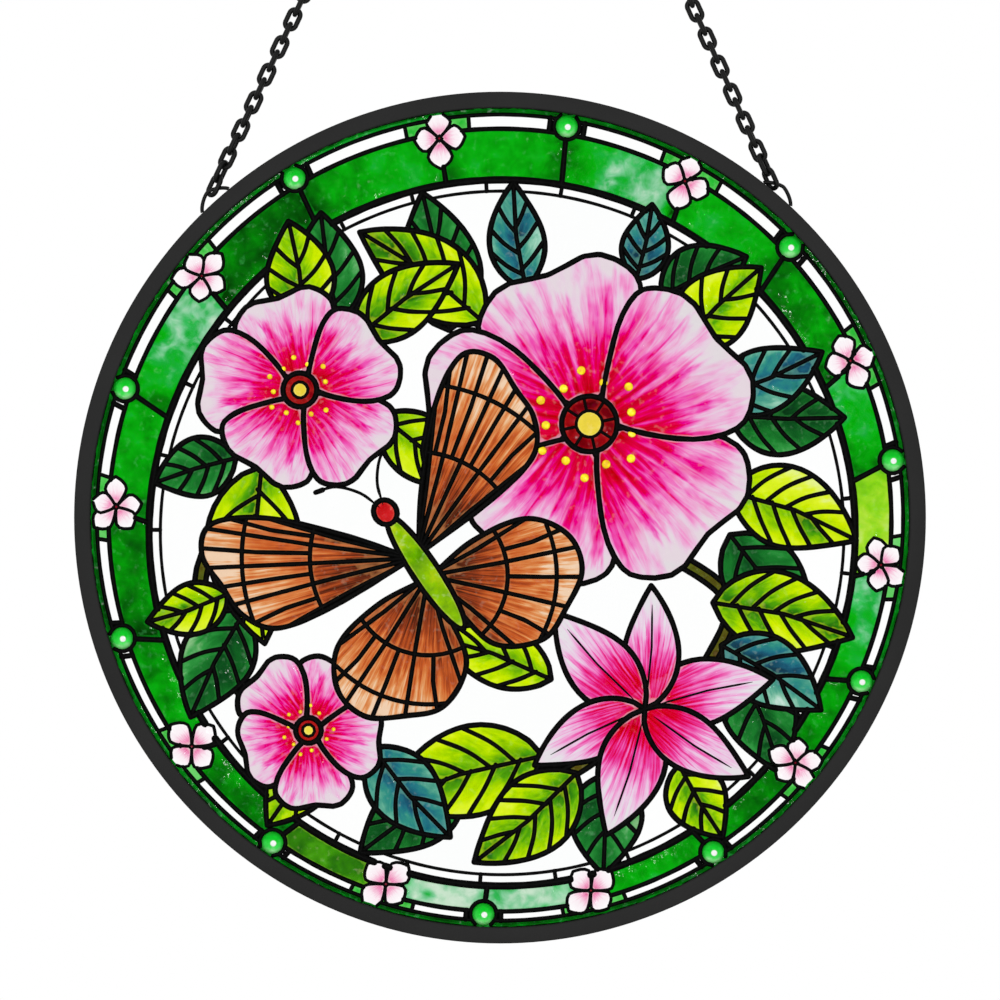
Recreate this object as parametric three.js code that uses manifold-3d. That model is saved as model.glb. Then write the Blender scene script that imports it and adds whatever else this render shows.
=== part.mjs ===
// Stained glass suncatcher: a clear glass disc with a picture in raised black contour lines, held
// in a round metal frame and hung by two chains from a plain ring.
//
// Millimetres. +X is to the right, +Z is up and the picture faces -Y. The origin is the inside top
// of the hanging ring, where a hook carries the whole piece. The disc stands in the XZ plane.

import * as THREE from 'three';
import { mergeVertices } from 'three/addons/utils/BufferGeometryUtils.js';
import Module from 'manifold-3d';

// ---- Driving dimensions ----

// Frame: a ring of channel section, open inwards, with the glass in its groove
const frameRadius = 100;
const frameWidth = 3.8;
const frameDepth = 6;
const frameSides = 36;
const grooveDepth = 2.4;

// Glass, and the lines and jewels on its front
const glassThickness = 3;
const glassPlay = 0.3;
const lineHeight = 0.6;
const openingPlay = 0.5;
const jewelRadius = 2.3;
const jewelHeight = 1.1;
const jewelShoulder = { reach: 0.7, rise: 0.8 };
const jewelSides = 6;
const jewelPlay = 0.15;

// Black rings of the border. The picture's field sits a little low, so the green band is broad at
// the top and narrow at the foot.
const fieldCentre = [0.5, -3.6];
const bandCentre = [0, -0.6];
const rimCentre = [0, 0];
const ringSides = 28;
const borderRings = [
  { centre: rimCentre, inner: 94.3, outer: 95.1 },
  { centre: bandCentre, inner: 91.5, outer: 92.4 },
  { centre: fieldCentre, inner: 82.1, outer: 83.8 },
];
const barWidth = 1.1;

// Ornaments of the border, by their angles clockwise from the top
const blossomAngles = [-9.1, 28.8, 65.9, 97.1, 129.7, 166.3, 197.3, 233.4, 271.6, 309];
const blossomDistance = 90.2;
const blossomReach = 6.4;
const blossomPetals = 5;
const blossomNotch = 0.6;
const jewelAngles = [9.7, 47, 81.7, 114.4, 147.5, 182.4, 215, 252.3, 289, 328.8];
const jewelDistance = 93.2;

// Contour lines of the picture
const outlineWidth = 1.3;
const veinWidth = 1;
const sharpestLean = 0.45;
const weldTolerance = 1e-4;
const mergeTolerance = 0.2;

// Chains: oval links of round wire, every other one turned by a quarter. The wire is drawn with
// three sides, which stand for its round section.
const linkLength = 6;
const linkWidth = 3.8;
const wireRadius = 0.6;
const wireSides = 3;
const wireFullness = 1.15;
const hookPlay = 0.3;

// Eyes for the chains: low loops of wire on the rim of the frame, with a rounded point. Each chain
// hooks in above the point, by its slide; the right one is a link shorter.
const eyeHalfSpan = 4.2;
const eyeFullness = 1.4;
const eyeWireRadius = 0.45;
const eyeWireSides = 4;
const eyeSteps = 8;
const footPlay = 0.3;
const leftChain = {
  name: 'left', side: -1, links: 43, eyeAngle: 41.9, eyeHeight: 2.9, slide: 1.2,
};
const rightChain = {
  name: 'right', side: 1, links: 42, eyeAngle: 40.6, eyeHeight: 2.4, slide: 2.6,
};

// Hanging ring
const ringWireRadius = 0.6;
const ringInnerRadius = 5;
const ringWireSides = 6;
const ringFacets = 12;

// How far an eye's wire stands off the rim, at a distance along the rim from its point
function eyeRise({ eyeHeight }, along) {
  const share = Math.abs(along) / eyeHalfSpan;
  return eyeHeight * (1 - share ** eyeFullness) ** (1 / eyeFullness);
}

// Where a chain crosses the wire of its eye, from the middle of the disc
function eyeCrossing(chain) {
  const angle = THREE.MathUtils.degToRad(chain.eyeAngle);
  const out = frameRadius + eyeRise(chain, chain.slide);
  return new THREE.Vector3(
    chain.side * (out * Math.sin(angle) - chain.slide * Math.cos(angle)),
    0,
    out * Math.cos(angle) + chain.slide * Math.sin(angle),
  );
}

// The chains pull straight from the eyes to the middle of the hanging ring. The left one, pulled
// taut, sets how far the disc hangs below the ring.
const linkPitch = linkLength - 4 * wireRadius;
const linkReach = linkLength - 2 * wireRadius;
const eyeReach = eyeWireRadius + wireRadius + hookPlay;
const ringReach = ringInnerRadius - wireRadius - hookPlay;
const pullLength = (leftChain.links - 1) * linkPitch + linkReach + ringReach - eyeReach;
const leftCrossing = eyeCrossing(leftChain);
const dropToCentre = ringInnerRadius + leftCrossing.z
  + Math.sqrt(pullLength ** 2 - leftCrossing.x ** 2);

// ---- Solids ----

const wasm = await Module();
wasm.setup();

function toSolid(geometry) {
  const bare = geometry.clone();
  bare.deleteAttribute('normal');
  bare.deleteAttribute('uv');
  const merged = mergeVertices(bare, weldTolerance);
  return new wasm.Manifold(new wasm.Mesh({
    numProp: 3,
    vertProperties: merged.attributes.position.array,
    triVerts: Uint32Array.from(merged.index.array),
  }));
}

function toGeometry(solid) {
  const { vertProperties, triVerts } = solid.getMesh();
  const geometry = new THREE.BufferGeometry();
  geometry.setAttribute('position', new THREE.BufferAttribute(vertProperties, 3));
  geometry.setIndex(new THREE.BufferAttribute(triVerts, 1));
  return geometry;
}

// ---- Flat outlines, as lists of points in the plane of the glass ----

function circle([x, y], radius, sides) {
  const points = [];
  for (let k = 0; k < sides; k += 1) {
    const angle = (2 * Math.PI * k) / sides;
    points.push([x + radius * Math.sin(angle), y + radius * Math.cos(angle)]);
  }
  return points;
}

// A point at a distance from a centre, by its angle clockwise from the top
function clockPoint(distance, degrees, [x, y] = [0, 0]) {
  const angle = THREE.MathUtils.degToRad(degrees);
  return [x + distance * Math.sin(angle), y + distance * Math.cos(angle)];
}

// Moves each corner along its bisector: outwards for a positive distance
function offset(points, distance) {
  const ring = points.map(([x, y]) => new THREE.Vector2(x, y));
  const turn = THREE.ShapeUtils.isClockWise(ring) ? -1 : 1;
  return ring.map((corner, k) => {
    const before = corner.clone().sub(ring.at(k - 1)).normalize();
    const after = ring[(k + 1) % ring.length].clone().sub(corner).normalize();
    const bisector = new THREE.Vector2(before.y + after.y, -before.x - after.x).normalize();
    const lean = Math.max(sharpestLean, bisector.x * before.y - bisector.y * before.x);
    return [corner.x + (bisector.x * turn * distance) / lean,
      corner.y + (bisector.y * turn * distance) / lean];
  });
}

// A bar of constant width along a line of points
function strip(points, width) {
  const line = points.map(([x, y]) => new THREE.Vector2(x, y));
  const left = [];
  const right = [];
  line.forEach((point, k) => {
    const before = line[Math.max(0, k - 1)];
    const after = line[Math.min(line.length - 1, k + 1)];
    const along = after.clone().sub(before).normalize();
    left.push([point.x - (along.y * width) / 2, point.y + (along.x * width) / 2]);
    right.push([point.x + (along.y * width) / 2, point.y - (along.x * width) / 2]);
  });
  return [...left, ...right.reverse()];
}

// Carries points given along and across a figure to its place. The figure's axis starts at `at`
// in the direction `turn` and curls by `bend` degrees over its length.
function place(points, { at, turn, length, bend = 0 }) {
  const angle = THREE.MathUtils.degToRad(turn);
  const curl = THREE.MathUtils.degToRad(bend) / length;
  return points.map(([along, across]) => {
    let x = along;
    let y = across;
    if (bend !== 0) {
      const swept = curl * along;
      x = Math.sin(swept) / curl - across * Math.sin(swept);
      y = (1 - Math.cos(swept)) / curl + across * Math.cos(swept);
    }
    return [at[0] + x * Math.cos(angle) - y * Math.sin(angle),
      at[1] + x * Math.sin(angle) + y * Math.cos(angle)];
  });
}

// ---- Figures of the picture: an outline, and the bars that part it ----

// Half the width of a leaf at a share of its length: fullest before the middle, and pointed
function leafHalf(width, share) {
  const fullest = 0.8;
  const roundness = 0.9;
  return (width / 2) * Math.sin(Math.PI * share ** fullest) ** roundness;
}

function leafOutline(length, width, steps) {
  const side = [];
  for (let k = 0; k <= steps; k += 1) {
    side.push([(length * k) / steps, leafHalf(width, k / steps)]);
  }
  const mirrored = side.slice(1, -1).reverse().map(([along, across]) => [along, -across]);
  return [...side, ...mirrored];
}

function petalOutline(length, width, sides) {
  const taper = 0.3;
  const widest = 0.78;
  return circle([0, 0], 1, sides).map((_, k) => {
    const angle = (2 * Math.PI * k) / sides;
    const reach = (1 - Math.cos(angle)) / 2;
    return [length * reach,
      (-width / 2) * Math.sin(angle) * ((taper + (1 - taper) * reach) / widest)];
  });
}

// Long leaves have a midrib, that ends a little before the tip
function leaf(at, turn, length, width, bend) {
  const longLeaf = 35;
  const ribReach = 0.95 * length;
  const figure = { at, turn, length, bend };
  const isLong = length > longLeaf;
  const rib = strip([[0, 0], [ribReach / 2, 0], [ribReach, 0]], veinWidth);
  return {
    outline: place(leafOutline(length, width, isLong ? 4 : 3), figure),
    bars: isLong ? [place(rib, figure)] : [],
  };
}

// Petals round a small heart, each a little different in length and bend
const roseLook = {
  petals: 5, inset: 0.1, petalLength: 0.846, petalWidth: 1.04, petalSides: 6,
  lengthSway: { size: 0.054, step: 2.4, start: 0 }, bendSway: { size: 10, step: 1.7, start: 1 },
  heart: 0.16, heartSides: 6,
};

function sway({ size, step, start }, k) {
  return size * Math.sin(step * k + start);
}

function rose(centre, radius, turn) {
  const figures = [];
  for (let k = 0; k < roseLook.petals; k += 1) {
    const heading = turn + (360 * k) / roseLook.petals;
    const at = clockPoint(radius * roseLook.inset, 90 - heading, centre);
    const length = radius * (roseLook.petalLength + sway(roseLook.lengthSway, k));
    const bend = sway(roseLook.bendSway, k);
    const petal = petalOutline(length, radius * roseLook.petalWidth, roseLook.petalSides);
    figures.push({ outline: place(petal, { at, turn: heading, length, bend }), bars: [] });
  }
  const heart = circle(centre, radius * roseLook.heart, roseLook.heartSides);
  figures.push({ outline: heart, bars: [] });
  return figures;
}

// Six narrow petals, by turns broader and bent to the other side
const lilyPetals = [{ length: 1, width: 0.5, bend: -14 }, { length: 0.94, width: 0.42, bend: 14 }];

function lily(centre, radius, turn) {
  const petalCount = 6;
  const sideSteps = 3;
  const figures = [];
  for (let k = 0; k < petalCount; k += 1) {
    const look = lilyPetals[k % lilyPetals.length];
    const length = radius * look.length;
    const petal = leafOutline(length, radius * look.width, sideSteps);
    const heading = turn + (360 * k) / petalCount;
    figures.push({
      outline: place(petal, { at: centre, turn: heading, length, bend: look.bend }),
      bars: [],
    });
  }
  return figures;
}

// Wings: the corners of the outline after the root, along and across the wing, and the corner
// that the vein runs to
const foreWing = {
  rim: [[16, -7], [34, -13], [47, -13], [50, -6], [46, 2], [42, 9], [34, 13], [20, 9]],
  vein: [46, 2],
};
const hindWing = {
  rim: [[10, -9], [22, -15], [32, -12], [36, -4], [33, 5], [28, 13], [17, 15], [8, 8]],
  vein: [36, -4],
};

function wing(root, turn, { rim, vein }, side) {
  const figure = { at: root, turn, length: 1 };
  const flip = ([along, across]) => [along, side * across];
  return {
    outline: place([[1, 0], ...rim].map(flip), figure),
    bars: [place(strip([[0, 0], vein].map(flip), veinWidth), figure)],
  };
}

function oval(at, turn, { length, width }) {
  const ovalSides = 8;
  const points = circle([0, 0], 1, ovalSides)
    .map(([x, y]) => [(x + 1) * (length / 2), y * (width / 2)]);
  return { outline: place(points, { at, turn, length }), bars: [] };
}

function stem(points, width) {
  const stepsBetween = 3;
  const curve = new THREE.SplineCurve(points.map(([x, y]) => new THREE.Vector2(x, y)));
  const line = curve.getPoints(stepsBetween * (points.length - 1)).map(({ x, y }) => [x, y]);
  return { outline: strip(line, width), bars: [] };
}

// Pairs of wings, body and head, by their distances ahead of the middle
const butterflyLook = {
  wings: [{ ahead: -2, spread: 128, shape: hindWing }, { ahead: 3, spread: 62, shape: foreWing }],
  ovals: [{ ahead: -17, length: 32, width: 6 }, { ahead: 13, length: 6, width: 5.4 }],
};

function butterfly(middle, turn) {
  const figures = [];
  for (const { ahead, spread, shape } of butterflyLook.wings) {
    const root = clockPoint(ahead, 90 - turn, middle);
    figures.push(wing(root, turn + spread, shape, 1), wing(root, turn - spread, shape, -1));
  }
  for (const look of butterflyLook.ovals) {
    figures.push(oval(clockPoint(look.ahead, 90 - turn, middle), turn, look));
  }
  return figures;
}

// The picture, from back to front: stems, leaves, flowers, then the butterfly. Small leaves that
// only peep out behind the others aren't raised.
const stemWidth = 2.6;
const picture = [
  stem([[-52, 16], [-70, -12], [-64, -36], [-46, -54]], stemWidth),
  stem([[-40, -56], [-16, -66], [12, -62], [34, -47]], stemWidth),
  stem([[36, -6], [54, -20], [46, -40]], stemWidth),
  stem([[-40, 42], [-22, 53], [4, 42]], stemWidth),
  leaf([-12, 44], 96, 33, 19, 10),
  leaf([54, 24], -6, 27, 17, 10),
  leaf([54, -4], -56, 30, 18, 16),
  leaf([56, -34], -64, 28, 17, -10),
  leaf([-8, -62], 208, 30, 17, 12),
  leaf([-60, -22], 236, 28, 17, 14),
  leaf([-4, 46], 134, 36, 18, 20),
  leaf([6, 54], 104, 25, 13, -15),
  leaf([42, 40], 50, 27, 17, -12),
  leaf([32, 56], 72, 18, 11, 12),
  leaf([54, 6], -10, 32, 19, -22),
  leaf([50, 28], 16, 28, 15, 14),
  leaf([50, -20], -4, 34, 19, -20),
  leaf([52, -30], -26, 28, 16, -14),
  leaf([10, -56], 188, 40, 21, 18),
  leaf([18, -60], 228, 32, 18, -14),
  leaf([42, -58], 296, 20, 14, 10),
  leaf([-56, 12], 258, 42, 22, 26),
  leaf([-64, -18], 206, 20, 12, -14),
  leaf([-46, 46], 92, 24, 16, 14),
  leaf([-34, 42], 42, 30, 15, -12),
  leaf([-28, 24], 318, 28, 15, 14),
  leaf([-42, -52], 244, 24, 15, -12),
  leaf([-30, -54], 304, 28, 16, 14),
  ...lily([34, -45], 31, 20),
  ...rose([-45, -50], 19, 60),
  ...rose([-47, 30], 25, 100),
  ...rose([21, 22], 41, 102),
  ...butterfly([-18, -12], 124),
];

// ---- Contour lines ----

// A flat outline raised from the front of the glass
function prism(points) {
  const shape = new THREE.Shape(points.map(([x, y]) => new THREE.Vector2(x, y)));
  const geometry = new THREE.ExtrudeGeometry(shape, { depth: lineHeight, bevelEnabled: false });
  geometry.rotateX(Math.PI / 2);
  geometry.translate(0, -glassThickness / 2, 0);
  return toSolid(geometry);
}

// Lays a figure over the lines behind it: they end at its outline, and its windows are open
function lay(lines, { outline, bars }) {
  let windows = prism(offset(outline, -outlineWidth / 2));
  for (const bar of bars) {
    windows = windows.subtract(prism(bar));
  }
  return lines.add(prism(offset(outline, outlineWidth / 2))).subtract(windows);
}

// Petals drawn to a point, and notches between them
function borderBlossom(angle) {
  const centre = clockPoint(blossomDistance, angle);
  const points = [];
  for (let k = 0; k < blossomPetals; k += 1) {
    const petal = angle + (360 * k) / blossomPetals;
    points.push(clockPoint(blossomReach * blossomNotch, petal - 180 / blossomPetals, centre));
    points.push(clockPoint(blossomReach, petal, centre));
  }
  return { outline: points, bars: [] };
}

function contourLines() {
  let lines = wasm.Manifold.union(borderRings.map(({ centre, inner, outer }) => (
    prism(circle(centre, outer, ringSides)).subtract(prism(circle(centre, inner, ringSides)))
  )));
  for (const angle of [...jewelAngles, ...blossomAngles]) {
    const ends = [clockPoint(borderRings[2].outer, angle, fieldCentre),
      clockPoint(blossomDistance, angle)];
    lines = lines.add(prism(strip(ends, barWidth)));
  }
  for (const figure of picture) {
    lines = lay(lines, figure);
  }
  for (const angle of blossomAngles) {
    lines = lay(lines, borderBlossom(angle));
  }
  for (const angle of jewelAngles) {
    const centre = clockPoint(jewelDistance, angle);
    const hole = prism(circle(centre, jewelRadius + jewelPlay, jewelSides));
    lines = lines.add(prism(circle(centre, jewelRadius + outlineWidth, jewelSides))).subtract(hole);
  }
  const opening = circle(rimCentre, frameRadius - frameWidth - openingPlay, frameSides);
  return lines.intersect(prism(opening)).asOriginal().simplify(mergeTolerance);
}

// ---- Frame, glass and jewels ----

// Profiles are turned about the Y axis: [distance from the axis, depth]
function turned(profile, sides) {
  return new THREE.LatheGeometry(profile.map(([r, y]) => new THREE.Vector2(r, y)), sides);
}

function frameGeometry() {
  const inner = frameRadius - frameWidth;
  const groove = inner + grooveDepth;
  const half = frameDepth / 2;
  const slot = glassThickness / 2;
  return turned([
    [inner, -half], [frameRadius, -half], [frameRadius, half], [inner, half],
    [inner, slot], [groove, slot], [groove, -slot], [inner, -slot], [inner, -half],
  ], frameSides);
}

function glassGeometry() {
  const radius = frameRadius - frameWidth + grooveDepth - glassPlay;
  const half = glassThickness / 2;
  return turned([[0, -half], [radius, -half], [radius, half], [0, half]], frameSides);
}

function jewelGeometry(angle) {
  const front = -glassThickness / 2;
  const shoulder = [jewelRadius * jewelShoulder.reach, front - jewelHeight * jewelShoulder.rise];
  const profile = [[0, front - jewelHeight], shoulder, [jewelRadius, front], [0, front]];
  const geometry = turned(profile, jewelSides);
  const [x, z] = clockPoint(jewelDistance, angle);
  geometry.translate(x, 0, z);
  return geometry;
}

// ---- Eyes, chains and hanging ring ----

// The eye's two feet end just off the rim
function eyeGeometry(chain) {
  const footShare = (1 - (footPlay / chain.eyeHeight) ** eyeFullness) ** (1 / eyeFullness);
  const points = [];
  for (let k = 0; k <= eyeSteps; k += 1) {
    const along = eyeHalfSpan * footShare * Math.sin(Math.PI * (k / eyeSteps - 0.5));
    points.push(new THREE.Vector3(along, 0, frameRadius + eyeRise(chain, along)));
  }
  const wire = new THREE.Shape(circle([0, 0], eyeWireRadius, eyeWireSides)
    .map(([x, y]) => new THREE.Vector2(x, y)));
  const geometry = new THREE.ExtrudeGeometry(wire, {
    steps: eyeSteps, extrudePath: new THREE.CatmullRomCurve3(points), bevelEnabled: false,
  });
  geometry.rotateY(THREE.MathUtils.degToRad(chain.side * chain.eyeAngle));
  return toGeometry(toSolid(geometry));
}

// A link along X: a four-cornered ring of wire, drawn out to the link's length. One corner of the
// wire's section points inwards, where the links touch.
function linkGeometry() {
  const corner = (linkWidth / 2 - wireRadius) * Math.SQRT2;
  const reach = wireRadius * wireFullness * Math.SQRT2;
  const ring = new THREE.TorusGeometry(corner, -reach, wireSides, 4);
  ring.rotateZ(Math.PI / 4);
  ring.scale(1, 1, Math.SQRT1_2);
  const { position } = ring.attributes;
  for (let k = 0; k < position.count; k += 1) {
    const x = position.getX(k);
    position.setX(k, x + (Math.sign(x) * (linkLength - linkWidth)) / 2);
  }
  return ring;
}

// The links are one fused body, hooked into the eye below and the hanging ring above. The first
// and the last are edge-on: an even count spreads one more quarter turn over the chain.
function chainGeometry(chain) {
  const crossing = eyeCrossing(chain).add(new THREE.Vector3(0, 0, -dropToCentre));
  const hook = new THREE.Vector3(0, 0, -ringInnerRadius);
  const along = hook.clone().sub(crossing).normalize();
  const depth = new THREE.Vector3(0, 1, 0);
  const aside = new THREE.Vector3().crossVectors(along, depth);
  const lastLink = chain.links - 1;
  const pitch = (hook.distanceTo(crossing) + eyeReach - ringReach - linkReach) / lastLink;
  const turnPerLink = (Math.PI * Math.ceil(lastLink / 2)) / lastLink;
  const solids = [];
  for (let k = 0; k < chain.links; k += 1) {
    const centre = along.clone()
      .multiplyScalar(linkReach / 2 - eyeReach + k * pitch)
      .add(crossing);
    const link = linkGeometry();
    link.rotateX(k * turnPerLink);
    link.applyMatrix4(new THREE.Matrix4().makeBasis(along, depth, aside).setPosition(centre));
    solids.push(toSolid(link));
  }
  return toGeometry(wasm.Manifold.union(solids));
}

// A ring of wire that faces the front, with its inside top at the origin
function hangingRingGeometry() {
  const radius = ringInnerRadius + ringWireRadius;
  const geometry = new THREE.TorusGeometry(radius, ringWireRadius, ringWireSides, ringFacets);
  geometry.rotateX(Math.PI / 2);
  geometry.translate(0, 0, -ringInnerRadius);
  return geometry;
}

// ---- Materials ----

const blackMetal = new THREE.MeshStandardMaterial({ color: '#2b2b2b', roughness: 0.55, metalness: 0.4 });
const chainMetal = new THREE.MeshStandardMaterial({ color: '#161616', roughness: 0.4, metalness: 0.6 });
const clearGlass = new THREE.MeshStandardMaterial({ color: '#e8f1ee', roughness: 0.1, metalness: 0 });
const blackLine = new THREE.MeshStandardMaterial({ color: '#0b0b0b', roughness: 0.25, metalness: 0 });
const greenGlass = new THREE.MeshStandardMaterial({ color: '#0aa526', roughness: 0.1, metalness: 0 });

// ---- Assembly ----

function named(name, geometry, material) {
  const mesh = new THREE.Mesh(geometry, material.clone());
  mesh.name = name;
  return mesh;
}

const disc = new THREE.Group();
disc.position.z = -dropToCentre;
disc.add(named('frame_ring', frameGeometry(), blackMetal));
disc.add(named('panel_disc', glassGeometry(), clearGlass));
disc.add(named('contour_lines', toGeometry(contourLines()), blackLine));
jewelAngles.forEach((angle, k) => {
  disc.add(named(`jewel_${String(k + 1).padStart(2, '0')}`, jewelGeometry(angle), greenGlass));
});

const suncatcher = new THREE.Group();
suncatcher.add(disc);
for (const chain of [leftChain, rightChain]) {
  disc.add(named(`eye_${chain.name}`, eyeGeometry(chain), blackMetal));
  suncatcher.add(named(`chain_${chain.name}`, chainGeometry(chain), chainMetal));
}
suncatcher.add(named('hanging_ring', hangingRingGeometry(), chainMetal));

export default suncatcher;
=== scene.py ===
# Round suncatcher: one sheet of hammered glass with a flower picture in transparent paint, black
# contour lines raised on its front, ten green cabochons, a coated steel frame and two black chains.
import math
import random

import bpy
import numpy as np
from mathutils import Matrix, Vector, kdtree, noise
from mathutils.geometry import delaunay_2d_cdt


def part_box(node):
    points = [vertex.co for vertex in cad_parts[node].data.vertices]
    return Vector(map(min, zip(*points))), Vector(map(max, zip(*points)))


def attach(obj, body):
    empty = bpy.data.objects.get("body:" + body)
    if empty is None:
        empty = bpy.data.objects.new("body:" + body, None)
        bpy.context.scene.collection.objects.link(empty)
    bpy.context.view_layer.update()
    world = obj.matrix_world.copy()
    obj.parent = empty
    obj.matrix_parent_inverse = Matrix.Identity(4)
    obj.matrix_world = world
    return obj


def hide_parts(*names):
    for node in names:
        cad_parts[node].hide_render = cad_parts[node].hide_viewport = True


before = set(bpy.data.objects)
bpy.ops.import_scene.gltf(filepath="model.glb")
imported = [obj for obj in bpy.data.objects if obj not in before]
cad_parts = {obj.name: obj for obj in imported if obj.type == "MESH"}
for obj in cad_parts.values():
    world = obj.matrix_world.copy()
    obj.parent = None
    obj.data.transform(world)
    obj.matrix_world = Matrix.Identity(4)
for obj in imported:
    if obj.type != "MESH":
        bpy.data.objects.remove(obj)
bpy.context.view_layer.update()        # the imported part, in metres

mm = 0.001

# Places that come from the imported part, in millimetres about the middle of the disc
ringLow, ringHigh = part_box("frame_ring")
glassLow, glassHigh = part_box("panel_disc")
discMiddle = (ringLow + ringHigh) / 2
frameRadius = (ringHigh.x - ringLow.x) / 2 / mm
frameHalfDepth = (ringHigh.y - ringLow.y) / 2 / mm
glassRadius = (glassHigh.x - glassLow.x) / 2 / mm
glassFront = glassLow.y / mm
glassBack = glassHigh.y / mm
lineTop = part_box("contour_lines")[0].y / mm
jewelNodes = sorted(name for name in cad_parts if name.startswith("jewel_"))
frameFace = 3.8      # width of the frame's front
paintPlay = 0.55     # the paint and the lines stop this short of the frame
openingRadius = frameRadius - frameFace - paintPlay


def spot(across, up, depth):    # a place on the disc, in millimetres from its middle
    return Vector((discMiddle.x + across * mm, depth * mm, discMiddle.z + up * mm))


# ---- Colours, nodes and pieces ----

def colour(text):    # an sRGB hex value as linear light
    parts = [int(text[k:k + 2], 16) / 255 for k in (1, 3, 5)]
    linear = [p / 12.92 if p <= 0.04045 else ((p + 0.055) / 1.055) ** 2.4 for p in parts]
    return (*linear, 1.0)


def add(tree, kind, settings=None, links=None):    # one node, with its settings and links
    made = tree.nodes.new("ShaderNode" + kind)
    for name, value in (settings or {}).items():
        if name == "stops":
            ramp = made.color_ramp
            while len(ramp.elements) < len(value):
                ramp.elements.new(1.0)
            for element, (place, shade) in zip(ramp.elements, value.items()):
                element.position = place
                element.color = colour(shade)
        elif isinstance(name, str) and hasattr(made, name):
            setattr(made, name, value)
        else:
            made.inputs[name].default_value = value
    for name, source in (links or {}).items():
        tree.links.new(source.outputs[0] if hasattr(source, "outputs") else source,
                       made.inputs[name])
    return made


def newMaterial(name, surface, *settings):    # a material, from the function that builds its surface
    material = bpy.data.materials.new(name)
    material.use_nodes = True
    tree = material.node_tree
    tree.nodes.clear()
    add(tree, "OutputMaterial", links={0: surface(tree, *settings)})
    return material


def newPiece(name, verts, faces, materials, stands):
    mesh = bpy.data.meshes.new(name)
    mesh.from_pydata([tuple(v) for v in verts], [], faces)
    for material in materials:
        mesh.materials.append(material)
    mesh.polygons.foreach_set("use_smooth", [True] * len(mesh.polygons))
    piece = bpy.data.objects.new(name, mesh)
    bpy.context.scene.collection.objects.link(piece)
    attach(piece, "root")
    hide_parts(*stands)
    return piece


def joinRings(faces, a, b, size):    # quads between two rings of points
    faces.extend((a + k, a + (k + 1) % size, b + (k + 1) % size, b + k) for k in range(size))


def joinAll(faces, first, rings, size, closed):    # a tube of rings, capped unless it closes on itself
    for k in range(rings if closed else rings - 1):
        joinRings(faces, first + k * size, first + (k + 1) % rings * size, size)
    if not closed:
        faces.append(tuple(range(first + size - 1, first - 1, -1)))
        faces.append(tuple(range(first + (rings - 1) * size, first + rings * size)))


def addDome(x, y, rings, steps, verts, faces):    # from its crown, rings[0], down to its foot in the glass
    first = len(verts)
    verts.append(spot(x, y, glassFront - rings[0][1]))
    for radius, height in rings[1:]:
        for k in range(steps):
            verts.append(spot(*clockPoint(radius, 360 * k / steps, (x, y)), glassFront - height))
    faces.extend((first, first + 1 + (k + 1) % steps, first + 1 + k) for k in range(steps))
    for ring in range(len(rings) - 2):
        inner = first + 1 + ring * steps
        joinRings(faces, inner, inner + steps, steps)
    faces.append(tuple(range(len(verts) - steps, len(verts))))


# ---- Flat outlines on the disc: millimetres across and up from its middle ----

def clockPoint(distance, degrees, middle=(0, 0)):    # by its angle clockwise from the top
    angle = math.radians(degrees)
    return middle[0] + distance * math.sin(angle), middle[1] + distance * math.cos(angle)


def circle(middle, radius, steps):
    return np.array([clockPoint(radius, 360 * k / steps, middle) for k in range(steps)])


def carry(points, figure):    # from along and across a figure to its place on the disc
    along, across = np.asarray(points, float).T
    curl = math.radians(figure["bend"]) / figure["length"]
    x, y = along, across
    if curl:
        x = np.sin(curl * along) / curl - across * np.sin(curl * along)
        y = (1 - np.cos(curl * along)) / curl + across * np.cos(curl * along)
    turn = math.radians(figure["turn"])
    return np.column_stack((figure["at"][0] + x * math.cos(turn) - y * math.sin(turn),
                            figure["at"][1] + x * math.sin(turn) + y * math.cos(turn)))


def carryBack(points, figure):    # the other way: how far along and across a figure a point is
    x, y = (np.asarray(points, float) - figure["at"]).T
    turn = math.radians(figure["turn"])
    x, y = x * math.cos(turn) + y * math.sin(turn), y * math.cos(turn) - x * math.sin(turn)
    curl = math.radians(figure["bend"]) / figure["length"]
    if not curl:
        return x, y
    side = math.copysign(1, curl)
    reach = np.hypot(x, 1 / curl - y)
    return np.arctan2(side * x, side * (1 / curl - y)) / curl, 1 / curl - side * reach


def spaced(points, step, closed=False):    # the same line with evenly spaced points
    points = np.asarray(points, float)
    if closed:
        points = np.vstack((points, points[:1]))
    way = np.concatenate(([0], np.cumsum(np.hypot(*np.diff(points, axis=0).T))))
    places = np.linspace(0, way[-1], max(2, round(way[-1] / step)) + 1)
    line = np.column_stack((np.interp(places, way, points[:, 0]),
                            np.interp(places, way, points[:, 1])))
    return line[:-1] if closed else line


def curveThrough(points, steps=8):    # a smooth line through a few points
    ends = [2 * np.array(points[0]) - points[1], *map(np.array, points),
            2 * np.array(points[-1]) - points[-2]]
    line = []
    for a, b, c, d in zip(ends, ends[1:], ends[2:], ends[3:]):
        for t in np.arange(steps) / steps:
            line.append(0.5 * (2 * b + (c - a) * t + (2 * a - 5 * b + 4 * c - d) * t ** 2
                               + (3 * b - a - 3 * c + d) * t ** 3))
    return np.array([*line, ends[-2]])


def inside(points, outline):
    x, y = points[:, 0, None], points[:, 1, None]
    x0, y0 = outline.T
    x1, y1 = np.roll(outline, -1, axis=0).T
    rise = np.where(y1 == y0, 1e-12, y1 - y0)
    crossed = ((y0 > y) != (y1 > y)) & (x < (x1 - x0) * (y - y0) / rise + x0)
    return crossed.sum(axis=1) % 2 == 1


# ---- Figures of the picture: an outline and the lines that part it ----

figures = []
stamens = []    # middle, radius, turn and layer of each rose
feelers = []    # the butterfly's two antennae


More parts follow.
